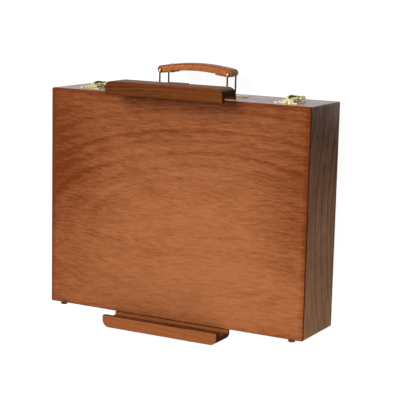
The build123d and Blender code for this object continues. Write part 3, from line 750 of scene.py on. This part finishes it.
def leather_slab(loops, reach, eased, slot_index):
    """A closed slab between two heights of the grip, its rims rounded over."""
    rim_turn = 1.0
    same_height = 1e-6
    slab = bmesh.new()
    for path in loops:
        ring = [slab.verts.new((x, y, reach[0])) for x, y in path]
        for a, b in zip(ring, ring[1:] + ring[:1]):
            slab.edges.new((a, b))
    bmesh.ops.triangle_fill(slab, edges=slab.edges[:], use_beauty=True)
    grown = bmesh.ops.extrude_face_region(slab, geom=slab.faces[:])["geom"]
    top_verts = [part for part in grown if isinstance(part, bmesh.types.BMVert)]
    bmesh.ops.translate(slab, verts=top_verts, vec=(0.0, 0.0, reach[1] - reach[0]))
    bmesh.ops.recalc_face_normals(slab, faces=slab.faces[:])
    rims = [
        edge
        for edge in slab.edges
        if edge.calc_face_angle(0.0) > rim_turn
        and abs(edge.verts[0].co.z - edge.verts[1].co.z) < same_height
    ]
    bmesh.ops.bevel(
        slab,
        geom=rims,
        offset=eased,
        segments=4,
        profile=0.5,
        affect="EDGES",
        clamp_overlap=True,
    )
    for face in slab.faces:
        face.material_index = slot_index
        face.smooth = True
    finished = bpy.data.meshes.new("leather_slab")
    slab.to_mesh(finished)
    slab.free()
    return finished


outer, inner = grip_half(0.0), grip_half(strap_t)
inner_left = [(-x, y) for x, y in inner]
strap_path = [(-x, y) for x, y in reversed(outer)] + outer[1:] + inner[::-1] + inner_left[1:]
span = math.degrees(math.asin(flap_x / (arch_r - core_t)))
belly = grip_arc((0.0, arch_y), arch_r - core_t, 90.0 - span, 90.0 + span, belly_steps)
core_path = inner_left[::-1] + inner[1:] + belly[1:-1]
last_turn = 360.0 - 360.0 / hole_steps
holes = [
    grip_arc((side * loop_x, loop_y), hole_r, 0.0, last_turn, hole_steps - 1) for side in (-1, 1)
]
grip_mesh = bpy.data.meshes.new("leather_grip")
whole_grip = bmesh.new()
for slot_index, (loops, side_inset, eased) in enumerate(
    (([strap_path], 0.0, strap_eased), ([core_path, *holes], core_inset, core_eased))
):
    reach = (low[2] + side_inset, high[2] - side_inset)
    slab_mesh = leather_slab(loops, reach, eased, slot_index)
    whole_grip.from_mesh(slab_mesh)
    bpy.data.meshes.remove(slab_mesh)
whole_grip.to_mesh(grip_mesh)
whole_grip.free()
grip_mesh.set_sharp_from_angle(angle=math.radians(crease))
grip = bpy.data.objects.new("leather_grip", grip_mesh)
bpy.context.scene.collection.objects.link(grip)

# The leather shows pores and a cloudy dye. Real pores are half a millimetre apart or less; they are
# drawn 1.1 mm apart, so that they show, and the dye's clouds are 4.5 mm across.
for name, light, dark in (
    ("tan_vegetable_tanned_leather", "#B06238", "#7E3F22"),
    ("burnished_leather_sides", "#D47C34", "#A85820"),
):
    leather, tree = start_material(name)
    place = add_node(tree, "ShaderNodeTexCoord")
    pores = add_node(
        tree, "ShaderNodeTexVoronoi", {"Vector": place.outputs["Object"], "Scale": 900.0}
    )
    cloud = add_node(
        tree,
        "ShaderNodeTexNoise",
        {"Vector": place.outputs["Object"], "Scale": 220.0, "Detail": 5.0, "Roughness": 0.65},
    )
    mottle = add_node(
        tree, "ShaderNodeMapRange", {0: cloud.outputs["Fac"], 1: 0.35, 2: 0.65, 3: 0.0, 4: 1.0}
    )
    tint = add_node(
        tree,
        "ShaderNodeMix",
        {0: mottle.outputs[0], 6: srgb(light), 7: srgb(dark)},
        data_type="RGBA",
    )
    bump = add_node(
        tree,
        "ShaderNodeBump",
        {"Height": pores.outputs["Distance"], "Strength": 0.3, "Distance": 0.00015},
    )
    hide = add_node(
        tree,
        "ShaderNodeBsdfPrincipled",
        {
            "Base Color": tint.outputs[2],
            "Roughness": 0.5,
            "Specular IOR Level": 0.3,
            "Normal": bump.outputs[0],
        },
    )
    add_node(tree, "ShaderNodeOutputMaterial", {"Surface": hide.outputs[0]})
    grip_mesh.materials.append(leather)
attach(grip, "grip")
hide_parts("handle_grip")

# Knobs: moulded dark brown ABS with twelve flutes for the fingers, each screwed by its own stud
# into a mast. The mould's spark texture, 0.4 mm from pit to pit, takes the shine off it.
plastic, tree = start_material("moulded_brown_abs")
place = add_node(tree, "ShaderNodeTexCoord")
spark = add_node(
    tree,
    "ShaderNodeTexNoise",
    {"Vector": place.outputs["Object"], "Scale": 2500.0, "Detail": 2.0},
)
bump = add_node(
    tree,
    "ShaderNodeBump",
    {"Height": spark.outputs["Fac"], "Strength": 0.2, "Distance": 0.0001},
)
shell = add_node(
    tree,
    "ShaderNodeBsdfPrincipled",
    {"Base Color": srgb("#2E2420"), "Roughness": 0.45, "Normal": bump.outputs[0]},
)
add_node(tree, "ShaderNodeOutputMaterial", {"Surface": shell.outputs[0]})
dress(plastic, "clamp_knob", "ledge_knob")

# Bumpers: small domes of moulded brown rubber glued to the hinge edge, on which the shut case can
# stand. They are matt, with a bloom of dust in clouds 2 mm across.
rubber, tree = start_material("moulded_brown_rubber")
place = add_node(tree, "ShaderNodeTexCoord")
dust = add_node(
    tree,
    "ShaderNodeTexNoise",
    {"Vector": place.outputs["Object"], "Scale": 500.0, "Detail": 3.0},
)
tint = add_node(
    tree,
    "ShaderNodeMix",
    {0: dust.outputs["Fac"], 6: srgb("#5B3326"), 7: srgb("#43241B")},
    data_type="RGBA",
)
dome = add_node(
    tree, "ShaderNodeBsdfPrincipled", {"Base Color": tint.outputs[2], "Roughness": 0.65}
)
add_node(tree, "ShaderNodeOutputMaterial", {"Surface": dome.outputs[0]})
dress(rubber, "lid_bumpers", "base_bumpers")
